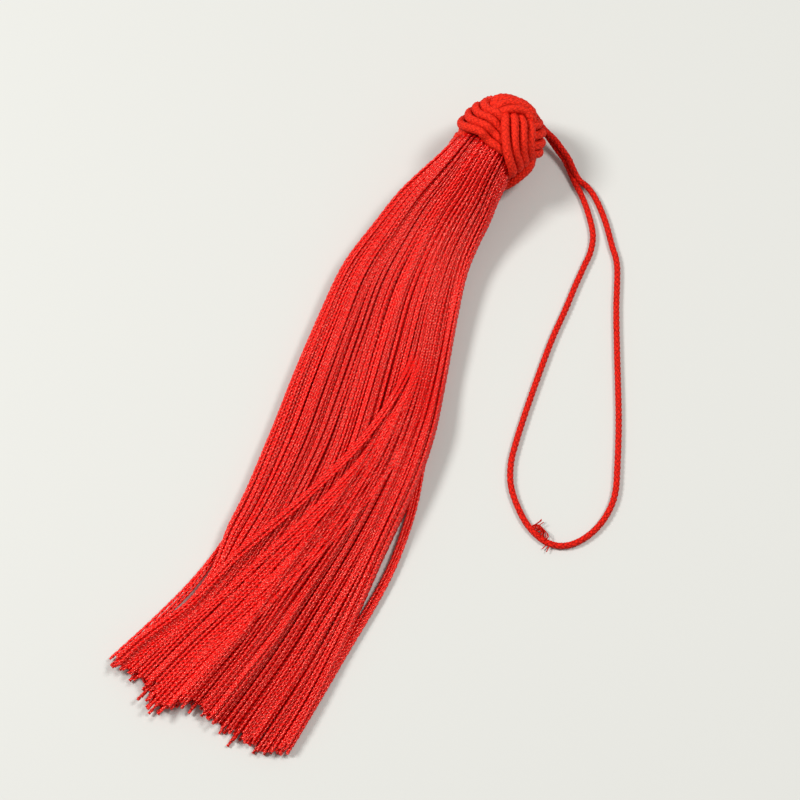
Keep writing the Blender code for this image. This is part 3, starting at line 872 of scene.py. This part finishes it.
def twisted_rayon():
    """Rayon thread: a lustrous filament yarn, scarlet and glossy where the plies stand up, dull in the
    groove between them and painted a deeper red there as painted shade. Painted highlights mark its fine
    turns and its filaments in specks, and no two threads are alike."""
    dullest = 0.49  # brightness of the dullest thread, before its painted highlights
    between_threads = 0.40
    painted_stitch_highlight = 0.14
    painted_speck_highlight = 0.6
    stitch_rise = 0.4  # against the specks' and the groove's
    material = bpy.data.materials.new("twisted_rayon")
    material.use_nodes = True
    tree = material.node_tree
    shader = tree.nodes["Principled BSDF"]
    shader.inputs["IOR"].default_value = 1.75
    shader.inputs["Specular IOR Level"].default_value = 0.8
    shader.inputs["Specular Tint"].default_value = linear("FF9080")
    groove = add_node(tree, "ShaderNodeAttribute", {"attribute_name": "groove"})
    tone = add_node(tree, "ShaderNodeAttribute", {"attribute_name": "tone"})
    along = add_node(tree, "ShaderNodeAttribute", {"attribute_name": "along"})
    place = add_node(tree, "ShaderNodeTexCoord")
    specks = add_node(
        tree, "ShaderNodeTexNoise",
        {"Scale": 1 / FILAMENT_SPECK, "Detail": 1.0}, {"Vector": place.outputs["Object"]},
    )
    deep = add_node(
        tree, "ShaderNodeMapRange", {"From Min": 0.35, "From Max": 1.0}, {"Value": groove.outputs["Fac"]}
    )
    # Painted shade: the groove between the plies is painted a deeper red than the plies.
    ply = add_node(
        tree, "ShaderNodeMix", {"data_type": "RGBA", 6: linear("EA0D0A"), 7: linear("A00506")},
        {0: deep.outputs[0]},
    )
    start = add_node(
        tree, "ShaderNodeMath", {"operation": "MULTIPLY", 1: TURN_SPREAD}, {0: tone.outputs["Fac"]}
    )
    turn = add_node(
        tree, "ShaderNodeMath",
        {"operation": "MULTIPLY_ADD", 1: math.tau / PLY_STITCH},
        {0: along.outputs["Fac"], 2: start.outputs[0]},
    )
    stitches = add_node(tree, "ShaderNodeMath", {"operation": "SINE"}, {0: turn.outputs[0]})
    own = add_node(
        tree, "ShaderNodeMath",
        {"operation": "MULTIPLY_ADD", 1: between_threads, 2: dullest}, {0: tone.outputs["Fac"]},
    )
    # Painted highlights: marks along the fine turns and specks for the filaments lighten the thread's
    # colour.
    lit = add_node(
        tree, "ShaderNodeMath",
        {"operation": "MULTIPLY_ADD", 1: painted_stitch_highlight}, {0: stitches.outputs[0], 2: own.outputs[0]},
    )
    value = add_node(
        tree, "ShaderNodeMath",
        {"operation": "MULTIPLY_ADD", 1: painted_speck_highlight}, {0: specks.outputs["Fac"], 2: lit.outputs[0]},
    )
    toned = add_node(
        tree, "ShaderNodeHueSaturation", links={"Color": ply.outputs[2], "Value": value.outputs[0]}
    )
    dull = add_node(
        tree, "ShaderNodeMapRange", {"To Min": 0.2, "To Max": 0.5}, {"Value": deep.outputs[0]}
    )
    raised = add_node(
        tree, "ShaderNodeMath",
        {"operation": "MULTIPLY_ADD", 1: stitch_rise}, {0: stitches.outputs[0], 2: specks.outputs["Fac"]},
    )
    height = add_node(
        tree, "ShaderNodeMath", {"operation": "SUBTRACT"}, {0: raised.outputs[0], 1: deep.outputs[0]}
    )
    bump = add_node(
        tree, "ShaderNodeBump", {"Strength": 0.5, "Distance": 0.00008}, {"Height": height.outputs[0]}
    )
    tree.links.new(toned.outputs[0], shader.inputs["Base Color"])
    tree.links.new(dull.outputs[0], shader.inputs["Roughness"])
    tree.links.new(bump.outputs[0], shader.inputs["Normal"])
    return material


chance = random.Random(FRINGE_SEED)
rayon = twisted_rayon()
thread_nodes = thread_tree()
layer_lines = [[] for layer in range(THREAD_LAYERS)]
crossing_lines = []
covering_lines = []
for number, (across, up, column, layer) in enumerate(laid_threads(chance)):
    most = JITTER if layer >= LOW_LAYERS else LOW_JITTER
    jitter = chance.uniform(-most, most)
    place = (2 * (column + 0.5 * (layer % 2) + jitter) + 1) / THREAD_COLUMNS - 1
    mouth = (across, up)
    lock = column // COLUMNS_IN_LOCK
    if layer == CROSSING_LAYER and CROSSING_FROM < place < CROSSING_TO:
        over = CROSSING_LEVEL - layer + chance.uniform(-JITTER, JITTER)
        course = crossing_course(place)
        crossing_lines.append(thread_line(mouth, course, layer, CROSSING_LOCKS + number, number, over))
    elif layer > CROSSING_LAYER and place > CROSSING_FROM:
        over = COVERING_LEVEL - THREAD_LAYERS + 1 + chance.uniform(-JITTER, JITTER)
        sinks = COVERING_SINK * eased(place, CROSSING_FROM, COVERING_SUNK_FROM)
        covering_lines.append(thread_line(mouth, covering_course(place), layer, lock, number, over, sinks))
    elif layer >= LOW_LAYERS and -1 < place < CROSSING_FROM:
        layer_lines[layer].append(thread_line(mouth, fanning_course(place), layer, lock, number))
    else:
        layer_lines[layer].append(thread_line(mouth, (place, place, 0.0, 1.0), layer, lock, number))
for number in range(COVERING_EXTRA):
    place = CROSSING_FROM + (1 - CROSSING_FROM) * (number + chance.random()) / COVERING_EXTRA
    covering_lines.append(thread_line(
        (place, EXTRA_UP), covering_course(place), EXTRA_LAYER, EXTRA_LOCKS + number // COLUMNS_IN_LOCK,
        EXTRA_NUMBERS + number, EXTRA_CLIMB, EXTRA_SINK,
    ))
for number, (*course, level) in enumerate(CROSSING_STRANDS):
    over = level - STRAND_LAYER
    crossing_lines.append(thread_line(
        (course[0], STRAND_UP), course, STRAND_LAYER, STRAND_LOCK, STRAND_NUMBERS + number, over
    ))
for number, course in enumerate(STRAY_THREADS):
    mouth = (math.copysign(STRAY_MOUTH[0], course[0]), STRAY_MOUTH[1])
    crossing_lines.append(thread_line(
        mouth, course, STRAY_LAYER, STRAY_LOCKS + number, STRAY_NUMBERS + number, stray=True
    ))
for layer, lines in enumerate(layer_lines + [crossing_lines, covering_lines]):
    dullest, brightest = LAYER_TONES_AND_PAINTED_LIGHT[layer]
    tones = [chance.uniform(dullest, brightest) for line in lines]
    threads = made_by(
        thread_nodes,
        lines_object(f"fringe_layer_{layer + 1}", lines, tones=tones),
        {
            "Ply Width": THREAD_WIDE, "Ply Thickness": THREAD_NARROW, "Twist Length": THREAD_TWIST,
            "Step": THREAD_STEP, "Material": rayon,
        },
    )
    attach(threads, "root")
    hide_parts("fringe")


# A plain pale table top and soft studio light: a round lamp high on the right, a stronger one of the same
# size high on the left, and a pale surround that fills the shadows.
FLOOR_SIZE = 3.0
LAMP_SIZE = 0.26
LAMP_DISTANCE = 0.9
SURROUND_STRENGTH = 0.33
LAMPS = (
    # name, power in watts, how far right, up and towards the camera it stands
    ("key_lamp", 4.1, (0.65, 0.55, 1.0)),
    ("side_lamp", 6.5, (-0.9, 0.60, 0.87)),
)

floor_mesh = bpy.data.meshes.new("table_top")
edge = FLOOR_SIZE / 2
floor_corners = [(-edge, -edge, 0), (edge, -edge, 0), (edge, edge, 0), (-edge, edge, 0)]
floor_mesh.from_pydata(floor_corners, [], [(0, 1, 2, 3)])
floor = bpy.data.objects.new("table_top", floor_mesh)
bpy.context.scene.collection.objects.link(floor)
painted = bpy.data.materials.new("matte_painted_board")
painted.use_nodes = True
board = painted.node_tree.nodes["Principled BSDF"]
board.inputs["Base Color"].default_value = linear("CDCDC8")
board.inputs["Roughness"].default_value = 0.7
floor_mesh.materials.append(painted)

for name, power, way in LAMPS:
    lamp = bpy.data.objects.new(name, bpy.data.lights.new(name, "AREA"))
    lamp.data.shape = "DISK"
    lamp.data.size = LAMP_SIZE
    lamp.data.energy = power
    lamp_way = (way[0] * photo_right + way[1] * photo_up + way[2] * to_camera).normalized()
    lamp.location = LAMP_DISTANCE * lamp_way
    lamp.rotation_euler = lamp_way.to_track_quat("Z", "Y").to_euler()
    bpy.context.scene.collection.objects.link(lamp)

surround = bpy.data.worlds.new("pale_surround")
surround.use_nodes = True
surround.node_tree.nodes["Background"].inputs["Color"].default_value = linear("FBFAF7")
surround.node_tree.nodes["Background"].inputs["Strength"].default_value = SURROUND_STRENGTH
bpy.context.scene.world = surround
bpy.context.scene.view_settings.view_transform = "Standard"
